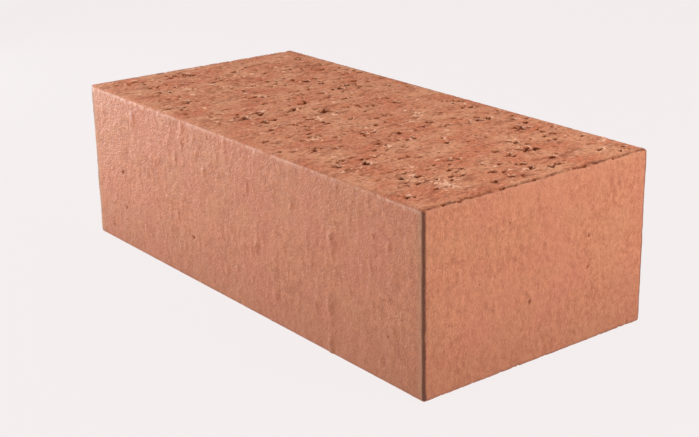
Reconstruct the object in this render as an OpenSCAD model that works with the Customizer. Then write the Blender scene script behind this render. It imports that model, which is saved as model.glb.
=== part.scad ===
// A solid extruded clay brick, cut from the column with a wire and fired.
//
// The clay leaves the die as one long column whose section is the brick's bed, so its four
// sides are smooth and its corners are rounded by the die. A frame of wires slices the column
// into bricks, so the two beds are flat cuts that meet the sides at sharp arrises. A solid
// brick has no frog, holes or cells: it is one piece of fired clay.
//
// X runs along the stretcher, Y along the header, and Z from bed to bed. The origin is the
// middle of the bed that the brick lies on.

/* [Brick] */
// Length of the stretcher, between the two headers
brick_length = 215; // [150:0.5:300]
// Width of the header, between the two stretchers
brick_width = 102.5; // [70:0.5:150]
// Height of the brick, between its two cut beds
brick_height = 65; // [40:0.5:120]

/* [Arrises] */
// Radius that the die's corners leave on the four upright arrises
die_corner_radius = 1; // [0.5:0.1:8]
// How far each sharp cut arris is knocked back while the clay is still soft
cut_arris_wear = 0.4; // [0.1:0.1:1.5]

/* [Colour] */
// Colour of the fired clay
fired_clay = "#c2836a"; // [#c2836a, #a9583f, #d8b48c]

/* [Hidden] */
// Sides of a full circle, enough for the small corner arcs to look round
$fn = 48;

// Section of the clay column: a rectangle with a round at each corner
module column_section(length, width, radius) {
    square([length - 2 * radius, width], center = true);
    square([length, width - 2 * radius], center = true);
    for (side_x = [-1, 1], side_y = [-1, 1])
        translate([side_x * (length / 2 - radius), side_y * (width / 2 - radius)])
            circle(r = radius);
}

// Upright section between the beds, its cut arrises worn back at 45 degrees
module worn_section(span, height, wear) {
    half = span / 2;
    polygon([
        [-half + wear, 0],
        [half - wear, 0],
        [half, wear],
        [half, height - wear],
        [half - wear, height],
        [-half + wear, height],
        [-half, height - wear],
        [-half, wear],
    ]);
}

// One slice of the column, with the arrises along both beds worn
module brick() {
    color(fired_clay)
        intersection() {
            linear_extrude(height = brick_height)
                column_section(brick_length, brick_width, die_corner_radius);
            rotate([90, 0, 0])
                linear_extrude(height = brick_width, center = true)
                    worn_section(brick_length, brick_height, cut_arris_wear);
            rotate([90, 0, 90])
                linear_extrude(height = brick_length, center = true)
                    worn_section(brick_width, brick_height, cut_arris_wear);
        }
}

brick();
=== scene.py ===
# %% [markdown]
# # A wire-cut clay brick
#
# This lesson builds one solid building brick of fired terracotta. It is the plainest shape
# there is, a block, so all of its likeness lies in its skin. A brick like this is pushed out
# of a die as a long column of stiff clay and sliced with a wire. The die leaves four smooth
# faces with fine drag lines and a round at each upright arris. The wire tears the other two,
# the beds, and leaves them open and gritty. The lesson makes the block, gives it a fine skin
# of mesh, marks that skin as the die and the wire would, and fires it with a clay material.

# %% Load the frame that the block has to fill
import math

import bpy
import numpy as np
from mathutils import Matrix, Vector, kdtree, noise


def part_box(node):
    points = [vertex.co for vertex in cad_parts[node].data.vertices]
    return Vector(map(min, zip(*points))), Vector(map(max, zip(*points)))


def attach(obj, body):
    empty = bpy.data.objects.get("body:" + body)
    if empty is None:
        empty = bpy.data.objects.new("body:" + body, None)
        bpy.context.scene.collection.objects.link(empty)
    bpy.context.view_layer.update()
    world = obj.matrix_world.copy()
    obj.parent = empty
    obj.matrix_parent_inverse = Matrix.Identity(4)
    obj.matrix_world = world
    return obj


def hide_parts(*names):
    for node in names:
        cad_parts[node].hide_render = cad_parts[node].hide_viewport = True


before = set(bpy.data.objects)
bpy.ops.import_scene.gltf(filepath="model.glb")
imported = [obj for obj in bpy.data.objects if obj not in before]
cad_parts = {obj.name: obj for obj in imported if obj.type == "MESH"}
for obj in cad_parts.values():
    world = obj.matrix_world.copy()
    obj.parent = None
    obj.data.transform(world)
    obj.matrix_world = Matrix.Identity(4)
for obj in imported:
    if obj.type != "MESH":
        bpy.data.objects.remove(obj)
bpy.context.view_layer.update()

# the frame and Blender count in metres, and the sizes below are in millimetres times MM
MM = 0.001
lowest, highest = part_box("brick")
size = highest - lowest
middle = (lowest + highest) / 2
length, width, height = (side / MM for side in size)
print(f"the brick is {length:.1f} x {width:.1f} x {height:.1f} mm")

# %% [markdown]
# ## Studio
#
# The brick lies on pale paper under five soft boxes. The main two stand to its left and right,
# so each lights one upright face across the line of sight, which brings out every small bump.
# The round arris between those faces looks at the camera, where no lamp stands, and so it shows as a
# thin dark line, which the material deepens with painted shade. The others lift the upper bed and the
# faces behind. A long lens from a little above keeps the block's edges almost parallel.

# %% The camera
view_azimuth = math.radians(51.1)
view_elevation = math.radians(18.3)
view_roll = math.radians(-0.55)
camera_place = Vector((410.1, -308.7, 200.6)) * MM

camera_data = bpy.data.cameras.new("camera")
camera_data.lens = 71.2
camera_data.shift_x = -0.057
camera_data.shift_y = -0.03
camera = bpy.data.objects.new("camera", camera_data)
bpy.context.scene.collection.objects.link(camera)
camera.matrix_world = (
    Matrix.Translation(camera_place)
    @ Matrix.Rotation(view_azimuth, 4, "Z")
    @ Matrix.Rotation(math.pi / 2 - view_elevation, 4, "X")
    @ Matrix.Rotation(view_roll, 4, "Z")
)
bpy.context.scene.camera = camera
print(f"the camera stands {(camera_place - middle).length:.2f} m from the brick")


# %% The lamps
def soft_box(name, azimuth, elevation, distance, side, watts, colour):
    """A square lamp that faces the brick. Azimuth turns from the -Y side towards the +X side."""
    turn, rise = math.radians(azimuth), math.radians(elevation)
    away = Vector((math.sin(turn) * math.cos(rise), -math.cos(turn) * math.cos(rise), math.sin(rise)))
    data = bpy.data.lights.new(name, "AREA")
    data.size = side
    data.energy = watts
    data.color = colour
    lamp = bpy.data.objects.new(name, data)
    lamp.location = middle + away * distance
    lamp.rotation_euler = away.to_track_quat("Z", "Y").to_euler()
    bpy.context.scene.collection.objects.link(lamp)


# the name, azimuth and elevation in degrees, distance and side in metres, watts, and colour
LAMPS = [
    ("lamp_left_low", -75, 6, 0.5, 0.3, 3.0, (0.91, 1.0, 1.03)),
    ("lamp_left_front", -15, 32, 0.5, 0.3, 1.2, (1, 1, 1)),
    ("lamp_right", 115, 32, 0.5, 0.3, 2.0, (1, 1, 1)),
    ("lamp_left_high", -100, 45, 0.7, 0.5, 0.75, (1, 1, 1)),
    ("lamp_back", 231, 50, 0.7, 0.5, 0.8, (1, 1, 1)),
]
for lamp in LAMPS:
    soft_box(*lamp)
print(len(LAMPS), "lamps give", round(sum(watts for *_, watts, _ in LAMPS), 2), "W in all")

# %% [markdown]
# ## Colours and nodes
#
# Colours are chosen as sRGB hex values, as a colour picker shows them, but a shader adds up
# light, so its sockets take linear values. One helper turns the first into the second. Another
# adds a node and wires it in the same call, so that a material reads from top to bottom.


# %% A helper for colours and one for nodes
def linear(hex_colour):
    """An sRGB hex colour as the linear colour, with full alpha, that Blender's sockets take."""
    channels = [int(hex_colour[i : i + 2], 16) / 255 for i in (1, 3, 5)]
    straight = [c / 12.92 if c <= 0.04045 else ((c + 0.055) / 1.055) ** 2.4 for c in channels]
    return (*straight, 1.0)


def add(tree, kind, inputs=None, **settings):
    """Adds a node, with its settings, and with each input set to a value or linked to a socket."""
    made = tree.nodes.new(kind)
    for name, value in settings.items():
        setattr(made, name, value)
    for name, value in (inputs or {}).items():
        if isinstance(value, bpy.types.NodeSocket):
            tree.links.new(value, made.inputs[name])
        else:
            made.inputs[name].default_value = value
    return made


def new_material(name):
    """A material with an empty node tree."""
    made = bpy.data.materials.new(name)
    made.use_nodes = True
    made.node_tree.nodes.clear()
    return made


# %% [markdown]
# ## The floor
#
# A small product is often shot on translucent paper that is lit from below, so that it throws
# hardly any shadow. A white floor under bright lamps would burn out beside them and keep a
# shadow, so this one glows evenly and gives back little of the lamps' light. The world behind
# it has the same tone, and is kept from lighting the brick, which the lamps already do.

# %% The floor, and the pale tone behind it
PALE = "#f4eeee"
GLOW = 0.98
FLOOR_SIDE = 12


def lit_paper():
    """Seamless studio paper, lit from below so that a thing on it throws only a faint shadow."""
    made = new_material("lit_studio_paper")
    tree = made.node_tree
    surface = add(tree, "ShaderNodeBsdfPrincipled", {
        "Base Color": linear("#262525"),
        "Roughness": 0.9,
        "Specular IOR Level": 0.0,
        "Emission Color": linear(PALE),
        "Emission Strength": GLOW,
    })
    add(tree, "ShaderNodeOutputMaterial", {"Surface": surface.outputs["BSDF"]})
    return made


bpy.ops.object.select_all(action="DESELECT")
bpy.ops.mesh.primitive_plane_add(size=FLOOR_SIDE, location=(0, 0, lowest.z))
floor = bpy.context.object
floor.name = "floor"
floor.data.materials.append(lit_paper())

world = bpy.data.worlds.new("world")
bpy.context.scene.world = world
world.use_nodes = True
backdrop = world.node_tree.nodes["Background"]
backdrop.inputs["Color"].default_value = linear(PALE)
backdrop.inputs["Strength"].default_value = GLOW
world.cycles_visibility.diffuse = False
world.cycles_visibility.glossy = False
bpy.context.scene.view_settings.view_transform = "Standard"
print("the floor is", FLOOR_SIDE, "m square and glows at", GLOW)

# %% [markdown]
# ## The block
#
# The brick is a slice of the clay column, so it is a plain block. It could be drawn as a
# rectangle and extruded, but a cube at the brick's own size is quicker and just as exact. It is
# a hair smaller all round, because blisters and lips of torn clay stand proud of it. A bevel
# gives its four upright edges the round of the die's corners. The edges along the beds stay
# sharp, as the wire leaves them.

# %% A cube at the size of the brick
# how far inside the real size the plain block stays
proud = 0.05

bpy.ops.object.select_all(action="DESELECT")
bpy.ops.mesh.primitive_cube_add(size=1, location=middle)
brick = bpy.context.object
brick.name = "fired_brick"
brick.scale = size - Vector((2, 2, 2)) * proud * MM
bpy.ops.object.transform_apply(location=True, rotation=False, scale=True)
print("sides of the plain block:", [round(side / MM, 2) for side in brick.dimensions])

# %% Rounding the upright arrises
corner_radius = 1.0
for edge in brick.data.edges:
    foot, head = (brick.data.vertices[i].co for i in edge.vertices)
    edge.select = abs(foot.z - head.z) > size.z / 2
bpy.ops.object.mode_set(mode="EDIT")
bpy.ops.mesh.select_mode(type="EDGE")
bpy.ops.mesh.bevel(offset=corner_radius * MM, segments=4)
bpy.ops.object.mode_set(mode="OBJECT")
print("faces of the block:", len(brick.data.polygons))

# %% [markdown]
# ## A skin of fine mesh
#
# The marks on a brick are a millimetre or two across, so the flat faces need points less than
# half a millimetre apart. Subdividing gives long thin faces on a long block. A voxel remesh
# gives even squares on all six faces, but it blunts every arris. The Remesh modifier's sharp
# mode also gives even squares, and it keeps each arris where it is, crisp as on a new brick.

# %% Remesh
remesh = brick.modifiers.new("skin", "REMESH")
remesh.mode = "SHARP"
remesh.octree_depth = 9
remesh.scale = 0.99
remesh.sharpness = 1.0
bpy.ops.object.modifier_apply(modifier=remesh.name)
print("points in the skin:", len(brick.data.vertices))

# %% Which points lie on the cut beds, and which on the faces that the die made
# a normal is upright by less than the first share on a side, and by more than the second on a bed
SIDE_MOST, BED_LEAST = 0.3, 0.7
skin = brick.data.vertices
upright_share = np.array([abs(point.normal.z) for point in skin])
faces_stretcher = np.array([abs(point.normal.y) for point in skin]) > BED_LEAST
cut = np.clip((upright_share - SIDE_MOST) / (BED_LEAST - SIDE_MOST), 0, 1)
on_bed, on_side = upright_share > BED_LEAST, upright_share < SIDE_MOST
print("points on the beds", on_bed.sum(), "and on the sides", on_side.sum())

# %% A vertex group for each kind of face
# the drag on a bed fades towards its arrises: each share, and from where to where it holds
BED_SHARES = ((0.25, -1, 1), (0.5, 1, 2), (0.75, 2, 3.5), (1.0, 3.5, 1000))
inwards = np.array([min(size.x / 2 - abs(p.co.x), size.y / 2 - abs(p.co.y)) for p in skin]) / MM

bed_group = brick.vertex_groups.new(name="cut_beds")
for share, start, end in BED_SHARES:
    chosen = on_bed & (inwards >= start) & (inwards < end)
    bed_group.add(np.flatnonzero(chosen).tolist(), share, "REPLACE")
side_group = brick.vertex_groups.new(name="die_faces")
side_group.add(np.flatnonzero(on_side).tolist(), 1.0, "REPLACE")
print("vertex groups:", [group.name for group in brick.vertex_groups])

# %% [markdown]
# ## Drag
#
# Clay is dragged along the brick's height by the die and across its width by the wire. Both
# leave a grain that is long in that direction and short in the other. A Displace modifier
# with a cloud texture gives such a grain, if the empty that the texture follows is stretched
# along the drag.


# %% A helper that drags a face
def drag(group, grain, depth, roughness):
    """Moves a group's points in and out by a cloud pattern whose grain has these three sizes."""
    clouds = bpy.data.textures.new(group + "_grain", "CLOUDS")
    clouds.noise_scale = 1.0
    clouds.noise_depth = roughness
    ruler = bpy.data.objects.new(group + "_ruler", None)
    ruler.scale = Vector(grain) * MM
    bpy.context.scene.collection.objects.link(ruler)
    bpy.context.view_layer.update()
    move = brick.modifiers.new(group + "_drag", "DISPLACE")
    move.texture = clouds
    move.texture_coords = "OBJECT"
    move.texture_coords_object = ruler
    move.vertex_group = group
    move.strength = depth * MM
    move.mid_level = 0.5
    bpy.context.view_layer.objects.active = brick
    bpy.ops.object.modifier_apply(modifier=move.name)
    bpy.data.objects.remove(ruler)


# %% Drag on the beds and on the sides
# fine grit over long waves on each, all in millimetres
drag("cut_beds", grain=(1.5, 3.0, 1.0), depth=1.1, roughness=3)
drag("cut_beds", grain=(8, 16, 8), depth=0.3, roughness=1)
drag("die_faces", grain=(2.0, 2.0, 5.0), depth=0.42, roughness=2)
drag("die_faces", grain=(12, 12, 25), depth=0.3, roughness=1)
print("height of the dragged block:", round(brick.dimensions.z / MM, 2), "mm")

# %% [markdown]
# ## Tears, flakes and blisters
#
# Stones and hard crumbs in the clay catch on the wire. Each leaves a hole with a ragged rim and throws
# up a lip or a flake of clay beyond it. On the sides, the die smears the same crumbs over, and they
# show as small blisters and pin holes. There are over three thousand marks, each with its own size,
# far too many for a boolean cut or a brush stroke each. So code moves the points: every mark pushes
# the points near it by a smooth amount that falls to nothing at its rim. It also notes how deep or how
# torn each point is, because the material later darkens the holes, partly with painted shade, and
# pales the torn clay, partly with a painted highlight.

# %% The skin's points as numbers, in millimetres
points = np.empty(len(brick.data.vertices) * 3)
brick.data.vertices.foreach_get("co", points)
points = points.reshape(-1, 3) / MM

near = kdtree.KDTree(len(points))
for number, point in enumerate(points):
    near.insert(point, number)
near.balance()

# a slow random number at each point, which makes the rims of the marks ragged
ragged = np.array([noise.noise(point * 1.1) for point in map(Vector, points)])
moved = np.zeros_like(points)
hollow = np.zeros(len(points))
torn = np.zeros(len(points))
dice = np.random.default_rng(215)
print("raggedness from", round(ragged.min(), 2), "to", round(ragged.max(), 2))


# %% A helper that finds the points under a mark
def mark_at(centre, axes, reaches, rag):
    """The points round a mark, how far out each lies (1 at the rim), and where it lies along."""
    found = [hit[1] for hit in near.find_range(centre, max(reaches) * 1.6)]
    offset = (points[found] - centre) @ np.array(axes).T / reaches
    out = np.sqrt((offset**2).sum(axis=1)) * (1 + rag * ragged[found])
    return np.array(found, dtype=int), out, offset[:, 1]


# %% A helper that makes a tear
# a hole this deep gets the darkest clay and painted shade, and a lip this high the palest clay and
# painted highlight, in millimetres
DARKEST_DEPTH = 0.7
PALEST_LIP = 0.2
# where the top of the lip lies and how wide it is, when the rim of the hole is at 1
LIP_PLACE = 1.15
LIP_WIDTH = 0.3


def tear(centre, axes, half_width, half_length, depth, lip):
    """A hole with a ragged rim, and a lip of torn clay at the end that the wire left by."""
    found, out, along = mark_at(centre, axes, (half_width, half_length, depth * 2), rag=0.7)
    if not len(found):
        return
    bowl = np.clip(1 - out**2, 0, 1)
    bowl = bowl * (2 - bowl)
    rim = np.exp(-(((out - LIP_PLACE) / LIP_WIDTH) ** 2)) * np.clip(0.3 + along, 0, 1)
    inward = -np.array(axes[2])
    moved[found] += np.outer(depth * bowl * (1 - 0.3 * along.clip(-1, 1)) - lip * rim, inward)
    # how dark the hole is coloured: its darker clay and painted shade
    hollow[found] = np.maximum(hollow[found], bowl * min(1, depth / DARKEST_DEPTH))
    # the lip is coloured paler, partly as fresh broken clay and partly as a painted highlight
    torn[found] = np.maximum(torn[found], rim * min(1, lip / PALEST_LIP))


# %% A helper that makes a flake
def flake(centre, axes, half_width, half_length, lift, pale):
    """A scale of clay that rises along the drag and breaks off at its far end."""
    found, out, along = mark_at(centre, axes, (half_width, half_length, 1.0), rag=0.9)
    if not len(found):
        return
    body = np.clip((1 - out) * 4, 0, 1)
    ramp = np.clip((along + 1) / 1.7, 0, 1)
    moved[found] += np.outer(lift * body * ramp, axes[2])
    torn[found] = np.maximum(torn[found], body * (0.35 + 0.65 * ramp) * pale)


# %% A helper that makes a blister
def blister(centre, axes, half_width, half_length, lift):
    """A smooth swelling where the die smeared a crumb over."""
    found, out, _ = mark_at(centre, axes, (half_width, half_length, 1.0), rag=0.5)
    if not len(found):
        return
    dome = np.clip(1.2 - 1.2 * out**2, 0, 1)
    moved[found] += np.outer(lift * dome, axes[2])


# %% [markdown]
# ## The marks that one would know this brick by
#
# Each face has its own three directions: across the drag, along it, and outwards. With those, one
# helper makes the same mark on any face. The few large marks give a brick its own look, so they are
# listed one by one. The rest are too many and too small for that.


# %% Where the faces are, and which way the clay was dragged over each
# half the sides of the plain block
half = np.array([length, width, height]) / 2 - proud
centre_of_brick = np.array(middle) / MM
X, Y, Z = np.eye(3)
BEDS = {"top": (X, Y, Z), "bottom": (-X, Y, -Z)}
SIDES = {"front": (X, Z, -Y), "back": (-X, Z, Y), "right": (Y, Z, X), "left": (-Y, Z, -X)}


def spot(axes, across, along):
    """A point on a face, from its middle, in millimetres across and along the drag."""
    reach = abs(np.array(axes) @ half)
    return centre_of_brick + across * axes[0] + along * axes[1] + reach[2] * axes[2]


def scattered(axes, share):
    """A random place on a face. share is how much of the face, from its middle, may take it."""
    reach = abs(np.array(axes) @ half)
    return spot(axes, *(dice.uniform(-share, share, 2) * reach[:2]))


# %% The larger tears and pale smears on the upper bed, listed one by one
# across and along the bed from its middle, half the width, half the length, and a tear's depth
LARGE_TEARS = [
    (0, 26, 1.9, 1.5, 1.1),
    (-53, 20, 1.6, 1.6, 0.9),
    (-77, -9, 1.0, 4.6, 0.8),
    (-42, -9, 1.3, 1.4, 0.9),
    (-23, -25, 1.0, 3.8, 0.9),
    (-22, -45, 1.1, 1.3, 0.9),
    (57, -34, 1.8, 1.7, 1.3),
    (53, -28, 0.7, 3.0, 0.8),
    (74, -32, 0.8, 3.6, 1.0),
    (54, -44, 1.8, 1.4, 1.1),
    (22, 18, 1.4, 1.2, 1.0),
    (-36, 29, 1.5, 1.2, 0.9),
    (-32, 13, 1.1, 1.6, 0.8),
    (-2, -13, 1.0, 2.0, 0.8),
    (27, -12, 1.2, 1.3, 0.9),
    (69, 21, 1.2, 1.3, 0.9),
    (97, 38, 1.0, 2.0, 0.8),
    (1, -34, 1.3, 1.4, 0.9),
    (-51, -47, 1.5, 1.3, 1.0),
    (8, -3, 1.0, 1.4, 0.8),
]
PALE_SMEARS = [
    (92, -30, 6.0, 4.0),
    (46, -16, 2.4, 2.0),
    (-1, -4, 2.4, 2.2),
    (28, -5, 3.2, 1.4),
    (-52, -11, 4.0, 1.4),
    (-74, -25, 4.0, 1.8),
    (21, -29, 3.6, 2.2),
    (70, -26, 2.0, 2.0),
    (82, -35, 2.4, 2.0),
    (19, 21, 2.6, 2.4),
    (-24, -27, 1.2, 2.4),
]
top = BEDS["top"]
for across, along, half_width, half_length in PALE_SMEARS:
    flake(spot(top, across, along), top, half_width, half_length, lift=0.12, pale=0.8)
for across, along, half_width, half_length, depth in LARGE_TEARS:
    tear(spot(top, across, along), top, half_width, half_length, depth, lip=0.2)
print(len(LARGE_TEARS), "large tears and", len(PALE_SMEARS), "pale smears")

# %% The larger marks on the sides, listed one by one
# across the face and up it from its middle, half the width, half the height, and the depth or rise
PIN_HOLES = {
    "front": [(-84, -0.5, 1.1, 1.2, 0.42), (-83, -15.5, 0.7, 0.7, 0.38), (-30, -14, 1.0, 0.8, 0.4)],
    "right": [(23, 7, 0.6, 0.9, 0.4), (23, -4.5, 0.9, 0.9, 0.45), (-5, -10, 0.6, 1.5, 0.35)],
}
BLISTERS = {
    "front": [
        (-41, 15.5, 1.2, 2.2, 0.29),
        (-46, -3.5, 1.4, 1.8, 0.32),
        (-37, -2, 1.2, 2.4, 0.29),
        (-6, 7.5, 1.1, 1.6, 0.29),
        (9, 15.5, 0.9, 2.8, 0.32),
        (37, 16.5, 1.0, 1.8, 0.29),
        (14, -6.5, 1.0, 2.0, 0.26),
        (-10, 22.5, 0.9, 1.6, 0.26),
        (-67, -20.5, 1.1, 2.4, 0.29),
        (60, 4, 1.0, 2.0, 0.26),
        (82, -6, 0.9, 1.8, 0.26),
    ],
    "right": [
        (-24, -6.0, 1.3, 1.4, 0.5),
        (-21, -8.5, 0.8, 2.6, 0.45),
        (-11, 7.5, 1.1, 1.2, 0.45),
        (-13, 10.0, 0.7, 0.8, 0.4),
        (-6, -6.5, 0.9, 1.1, 0.45),
        (-4.5, -8.5, 0.8, 1.5, 0.5),
        (-20, -25, 0.8, 1.2, 0.4),
        (2, 9, 0.8, 1.0, 0.4),
        (7, 1, 0.7, 0.9, 0.35),
        (31, 4, 0.8, 1.2, 0.35),
    ],
}
for face, holes in PIN_HOLES.items():
    for across, up, half_width, half_length, depth in holes:
        tear(spot(SIDES[face], across, up), SIDES[face], half_width, half_length, depth, lip=0.12)
for face, swellings in BLISTERS.items():
    for across, up, half_width, half_length, lift in swellings:
        blister(spot(SIDES[face], across, up), SIDES[face], half_width, half_length, lift)
print("points moved by the marks so far:", int((moved != 0).any(axis=1).sum()))

# %% [markdown]
# ## The small marks
#
# A crumb that the wire catches rolls along under it and tears the clay again and again, so the
# small tears lie in short broken rows. Scattering them evenly looks like a sponge. Seeded dice
# choose each size and place, so the brick is the same every time the lesson is run.


# %% A helper that makes a row of tears
def row_of_tears(axes, count, typical):
    """Tears that one hard crumb leaves as the wire rolls it along, up to the bed's arris."""
    place = scattered(axes, 0.95)
    for _ in range(count):
        half_width = np.clip(dice.lognormal(math.log(typical), 0.35), 0.3, 1.3)
        half_length = half_width * dice.uniform(0.8, 1.9)
        depth = half_width * dice.uniform(0.8, 1.2)
        lip = dice.uniform(0.0, 0.22)
        if abs((place - centre_of_brick) @ axes[1]) > half[1] - 1.4 * half_length - 0.5:
            # the next hole would break through the arris, which the wire leaves whole
            return
        tear(place, axes, half_width, half_length, depth, lip)
        place = place + axes[0] * dice.normal(0, 1.3) + axes[1] * dice.normal(0, 3.5)


# %% The small tears and flakes on both beds
# how many rows, one more than the most tears in a row, and half the width of a typical tear
ROWS = ((190, 6, 0.73), (170, 5, 0.45))
FLAKES = 240
for axes in BEDS.values():
    for rows, end, typical in ROWS:
        for _ in range(rows):
            row_of_tears(axes, dice.integers(1, end), typical)
    for _ in range(FLAKES):
        half_width = dice.uniform(0.35, 1.3)
        half_length = half_width * dice.uniform(0.8, 2.6)
        lift = dice.uniform(0.1, 0.3)
        flake(scattered(axes, 0.99), axes, half_width, half_length, lift, dice.uniform(0.3, 1.0))
print("share of the skin that is hollow:", round(100 * float((hollow > 0.1).mean()), 1), "%")

# %% Crumbs lost from the arrises where the beds meet the headers
# the bed, which end of it, and how many crumbs that arris has lost
CRUMBLED = (("top", 1, 80), ("top", -1, 26), ("bottom", 1, 30), ("bottom", -1, 30))
for bed, end, crumbs in CRUMBLED:
    axes = BEDS[bed]
    for _ in range(crumbs):
        along = dice.uniform(-1, 1) * (half[1] - 3)
        place = spot(axes, end * (half[0] - dice.uniform(0.3, 1.6)), along)
        half_width = dice.uniform(0.3, 0.75)
        tear(place, axes, half_width, half_width * dice.uniform(1, 2), half_width * 0.6, lip=0.0)
print("crumbs lost:", sum(crumbs for _, _, crumbs in CRUMBLED))

# %% Blisters and pin holes on the sides
# the area that has one of each, on average, in square millimetres
AREA_PER_BLISTER = 60
AREA_PER_PIN_HOLE = 2500
for axes in SIDES.values():
    face_area = 4 * np.prod(abs(np.array(axes[:2]) @ half))
    for _ in range(int(face_area / AREA_PER_BLISTER)):
        half_width = dice.lognormal(math.log(0.75), 0.35)
        half_length = half_width * dice.uniform(1.0, 2.1)
        lift = half_width * dice.uniform(0.12, 0.29)
        blister(scattered(axes, 0.96), axes, half_width, half_length, lift)
    for _ in range(int(face_area / AREA_PER_PIN_HOLE)):
        half_width = dice.uniform(0.4, 0.7)
        tear(scattered(axes, 0.94), axes, half_width, half_width * 1.5, depth=0.25, lip=0.05)
    print("a face of", int(face_area), "square millimetres has its blisters and pin holes")

# %% Move the skin, and press flat whatever stands too far proud of it
# the lower bed dried on a flat board, so nothing on it stands proud at all
most_proud = 0.5
# where tears overlap they would dig too deep, so no point is moved further than this
most_moved = 1.8
how_far = np.linalg.norm(moved, axis=1)
moved *= np.minimum(1, most_moved / np.maximum(how_far, 0.001))[:, None]
lowest_allowed = np.array(lowest) / MM - (most_proud, most_proud, 0)
highest_allowed = np.array(highest) / MM + most_proud
placed = np.clip(points + moved, lowest_allowed, highest_allowed)
brick.data.vertices.foreach_set("co", (placed * MM).ravel())
brick.data.update()
print("the marks moved a point by at most", round(float(np.linalg.norm(moved, axis=1).max()), 2), "mm")

# %% [markdown]
# ## What the material has to know
#
# The clay's colour changes over the skin. It is dark in the holes, partly darker clay and partly
# painted shade, and pale where it is freshly torn, partly with a painted highlight. It is paler at the
# stretchers' ends. Painted shade runs along the upright arrises, and along the beds' rims together
# with dark crumbs, and a painted highlight runs under the upper bed. A material could guess some of
# this from the slope of the surface, but the mesh already knows it exactly, so each point keeps it as
# an attribute. Then Decimate merges faces where the skin is nearly flat and keeps them round the
# tears, because a point every half millimetre is more than the flat stretches need. It carries the
# attributes along. A merged point can slip a hair below the lower bed, so each one that did is set
# back on it.

# %% How near each point is to the arrises
from_ends = length / 2 - abs(points[:, 0])
from_stretchers = width / 2 - abs(points[:, 1])
from_back = width / 2 - points[:, 1]
from_top = highest.z / MM - points[:, 2]
on_stretcher = (cut < 0.5) * faces_stretcher
# each mark fades to nothing over so many millimetres from the arris
ARRIS_WIDTH = 5
PALE_END_WIDTH = 4
TOP_HIGHLIGHT_HEIGHT = 1.5
RIM_AT_ENDS = 3
RIM_AT_BACK = 2.2
SKIN_MARKS = {
    # hollow: how far the darker clay and the painted shade of a hole reach
    "hollow": hollow,
    # torn: the paler inside of broken clay, with a painted highlight on the torn lips
    "torn": torn,
    "cut": cut,
    # painted shade along the upright arrises, whose rounds face away from the lamps
    "arris": np.clip(1 - np.hypot(from_ends, from_stretchers) / ARRIS_WIDTH, 0, 1),
    # paler over the last few millimetres of each stretcher before the upright arrises
    "pale_end": on_stretcher * np.clip(1 - from_ends / PALE_END_WIDTH, 0, 1),
    # painted highlight along the upper arris of the stretchers, just under the upper bed
    "painted_top_highlight": on_stretcher * np.clip(1 - from_top / TOP_HIGHLIGHT_HEIGHT, 0, 1),
    # darker along the beds' rims at the ends and the back: partly dark crumbs, partly painted shade at
    # the edge
    "rim": cut * np.maximum(1 - from_ends / RIM_AT_ENDS, 1 - from_back / RIM_AT_BACK).clip(0, 1),
}
for name, values in SKIN_MARKS.items():
    layer = brick.data.attributes.new(name, "FLOAT", "POINT")
    layer.data.foreach_set("value", values.astype(np.float32))
    print(name, "on", round(100 * float((values > 0.1).mean()), 1), "% of the skin")

# %% Decimate, then shade smooth
MOST_TRIANGLES = 194_000
triangles = sum(len(face.vertices) - 2 for face in brick.data.polygons)
thin = brick.modifiers.new("fewer", "DECIMATE")
thin.ratio = min(1.0, MOST_TRIANGLES / triangles)
bpy.ops.object.modifier_apply(modifier=thin.name)
for point in brick.data.vertices:
    point.co.z = max(point.co.z, lowest.z)
bpy.ops.object.shade_smooth()
print("triangles", triangles, "->", sum(len(face.vertices) - 2 for face in brick.data.polygons))

# %% [markdown]
# ## Fired clay
#
# The clay is terracotta, extruded and fired without a glaze. It is matt, and iron gives it its colour.
# That colour is never even. The die draws fine clay to the sides, which leaves them smoother and a
# little sleek. The kiln blushes some parts. The torn beds show the grit inside, dark brown in the
# holes and pale where a crumb broke away. The colour also paints shade into the holes, along the
# upright arrises, the beds' rims and the lower sides, and paints a highlight on the torn lips and
# under the upper bed. One flat colour would look like plastic, so the material lays thin coats of
# colour over each other. Each coat follows a noise pattern, sized in millimetres after a real grain,
# or one of the marks that the skin carries. The coats stand in a list, so that a colour can be changed
# without touching a node.

# %% The grains in the clay
# the size of each grain along X, Y and Z in millimetres, and how rough it is; real grit goes
# down to a tenth of a millimetre, too fine to show, so the finest here starts at 0.7
GRAINS = {
    "bed_grit": ((0.8, 1.5, 0.8), 3),
    "bed_drag": ((2.0, 5.5, 2.0), 3),
    "side_grit": ((0.7, 0.7, 0.8), 2),
    "side_lumps": ((2.0, 2.0, 2.2), 3),
    "side_drag": ((0.8, 0.8, 4.5), 2),
    "kiln_cloud": ((11, 15, 11), 2),
    "kiln_blush": ((23, 19, 17), 1),
}
# the mark that each of these follows, and how strongly which grain breaks up its edge
BROKEN_MARKS = {
    "pit_clay_and_shade": ("hollow", "bed_grit", 0.8),
    "fresh_break_and_highlight": ("torn", "bed_grit", 1.8),
    "rim_crumbs_and_shade": ("rim", "bed_drag", 3.0),
}

# %% The coats of colour
BARE_CLAY = {"bed": "#cd7752", "side": "#b86c49"}
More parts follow.
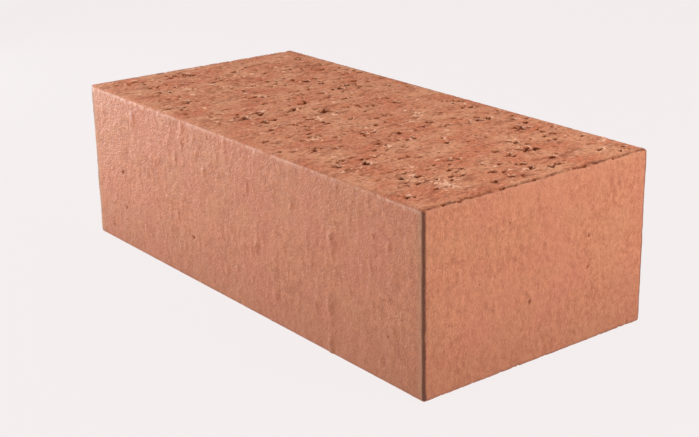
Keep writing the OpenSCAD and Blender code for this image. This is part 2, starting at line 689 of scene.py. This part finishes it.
# the face, what the coat follows, where it starts and where it is full, its strength, its colour;
# "rise" is the height above the lower bed
COATS = [
    # the kiln's uneven heat, then shade in the furrows, dark grit and pale grit
    ("bed", "kiln_cloud", 0.37, 0.63, 1.0, "#da946d"),
    ("bed", "bed_drag", 0.5, 0.3, 0.75, "#97502f"),
    ("bed", "bed_grit", 0.45, 0.3, 0.68, "#8b4426"),
    ("bed", "bed_grit", 0.57, 0.72, 0.65, "#f2b796"),
    # dark along the rims, partly dark crumbs and partly painted shade at the edge; the pale inside of
    # broken crumbs, partly a painted highlight on the torn lips; and the dark of the holes, partly
    # darker clay and partly painted shade
    ("bed", "rim_crumbs_and_shade", 1.95, 2.5, 0.8, "#75402a"),
    ("bed", "fresh_break_and_highlight", 1.32, 1.62, 0.9, "#f5bd9b"),
    ("bed", "pit_clay_and_shade", 0.52, 1.0, 0.92, "#6c2f19"),
    # lumps of richer clay, dark grit and pale grit, and the die's fine upright streaks
    ("side", "side_lumps", 0.33, 0.67, 1.0, "#d0845d"),
    ("side", "side_grit", 0.48, 0.28, 0.43, "#98563a"),
    ("side", "side_grit", 0.54, 0.74, 0.43, "#e29d78"),
    ("side", "side_drag", 0.42, 0.3, 0.15, "#96543a"),
    # the kiln's uneven heat, and painted shade that darkens the sides towards their foot, where less
    # light falls
    ("side", "kiln_cloud", 0.4, 0.7, 0.4, "#c9875e"),
    ("side", "kiln_blush", 0.4, 0.7, 0.4, "#ca785b"),
    ("side", "rise", 26 * MM, 0.0, 0.3, "#9c5536"),
    # painted shadow along the foot, where the brick meets the floor; a painted highlight under the
    # upper bed on the stretchers; and the dark of the pin holes, partly darker clay and partly painted
    # shade
    ("side", "rise", 1.7 * MM, 0.3 * MM, 0.45, "#6f4a34"),
    ("side", "painted_top_highlight", 0.1, 0.7, 0.75, "#f0c0a3"),
    ("side", "pit_clay_and_shade", 0.52, 1.0, 0.85, "#75351e"),
    # the stretchers' ends, paler towards the upright arrises, and painted shade along the upright
    # arrises, whose rounds face away from the lamps
    ("side", "pale_end", 0.05, 0.6, 0.5, "#b88a67"),
    ("side", "arris", 0.73, 0.87, 0.85, "#62270c"),
]
SIDE_ROUGHNESS, BED_ROUGHNESS = 0.52, 0.95
SHEEN, SHEEN_IN_HOLES = 0.5, 0.05
# a Mix node has sockets of one name for each kind of value, so its colour sockets go by number
MIX_FACTOR, MIX_UNDER, MIX_OVER, MIX_RESULT = 0, 6, 7, 2


# %% The material
def fired_clay():
    """Extruded, unglazed terracotta: matt, mottled, gritty on the cut beds, sleeker on the sides."""
    made = new_material("fired_extruded_clay")
    tree = made.node_tree
    place = add(tree, "ShaderNodeTexCoord").outputs["Object"]
    rise = add(tree, "ShaderNodeSeparateXYZ", {"Vector": place})
    follow = {"rise": rise.outputs["Z"]}
    for name in SKIN_MARKS:
        follow[name] = add(tree, "ShaderNodeAttribute", attribute_name=name).outputs["Fac"]
    for name, (sizes, detail) in GRAINS.items():
        scales = [1 / (side * MM) for side in sizes]
        scaled = add(tree, "ShaderNodeMapping", {"Vector": place, "Scale": scales})
        noisy = add(tree, "ShaderNodeTexNoise", {
            "Vector": scaled.outputs["Vector"], "Scale": 1.0, "Detail": detail,
        })
        follow[name] = noisy.outputs["Fac"]
    for name, (mark, grain, strength) in BROKEN_MARKS.items():
        broken = add(tree, "ShaderNodeMath", {
            0: follow[grain], 1: strength, 2: follow[mark],
        }, operation="MULTIPLY_ADD")
        follow[name] = broken.outputs["Value"]

    clay = {face: linear(colour) for face, colour in BARE_CLAY.items()}
    for face, followed, start, full, strength, colour in COATS:
        cover = add(tree, "ShaderNodeMapRange", {
            "Value": follow[followed], "From Min": start, "From Max": full, "To Max": strength,
        })
        coated = add(tree, "ShaderNodeMix", {
            MIX_FACTOR: cover.outputs["Result"], MIX_UNDER: clay[face], MIX_OVER: linear(colour),
        }, data_type="RGBA")
        clay[face] = coated.outputs[MIX_RESULT]
    colour = add(tree, "ShaderNodeMix", {
        MIX_FACTOR: follow["cut"], MIX_UNDER: clay["side"], MIX_OVER: clay["bed"],
    }, data_type="RGBA")

    # the sides are a little sleek, the beds are not, and the holes give back no sheen at all
    roughness = add(tree, "ShaderNodeMapRange", {
        "Value": follow["cut"], "To Min": SIDE_ROUGHNESS, "To Max": BED_ROUGHNESS,
    })
    sheen = add(tree, "ShaderNodeMapRange", {
        "Value": follow["pit_clay_and_shade"], "From Min": 0.52, "From Max": 0.9,
        "To Min": SHEEN, "To Max": SHEEN_IN_HOLES,
    })
    lumps = add(tree, "ShaderNodeBump", {
        "Height": follow["side_lumps"], "Distance": 0.5 * MM, "Strength": 0.7,
    })
    grit = add(tree, "ShaderNodeMix", {
        MIX_FACTOR: follow["cut"], MIX_UNDER: follow["side_grit"], MIX_OVER: follow["bed_grit"],
    }, data_type="RGBA")
    bumps = add(tree, "ShaderNodeBump", {
        "Height": grit.outputs[MIX_RESULT], "Distance": 0.4 * MM, "Strength": 0.9,
        "Normal": lumps.outputs["Normal"],
    })
    surface = add(tree, "ShaderNodeBsdfPrincipled", {
        "Base Color": colour.outputs[MIX_RESULT],
        "Roughness": roughness.outputs["Result"],
        "Specular IOR Level": sheen.outputs["Result"],
        "Normal": bumps.outputs["Normal"],
    })
    add(tree, "ShaderNodeOutputMaterial", {"Surface": surface.outputs["BSDF"]})
    print("the clay has", len(COATS), "coats of colour and", len(tree.nodes), "nodes")
    return made


brick.data.materials.clear()
brick.data.materials.append(fired_clay())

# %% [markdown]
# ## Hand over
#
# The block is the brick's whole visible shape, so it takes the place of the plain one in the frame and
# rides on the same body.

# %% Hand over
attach(brick, "root")
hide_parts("brick")
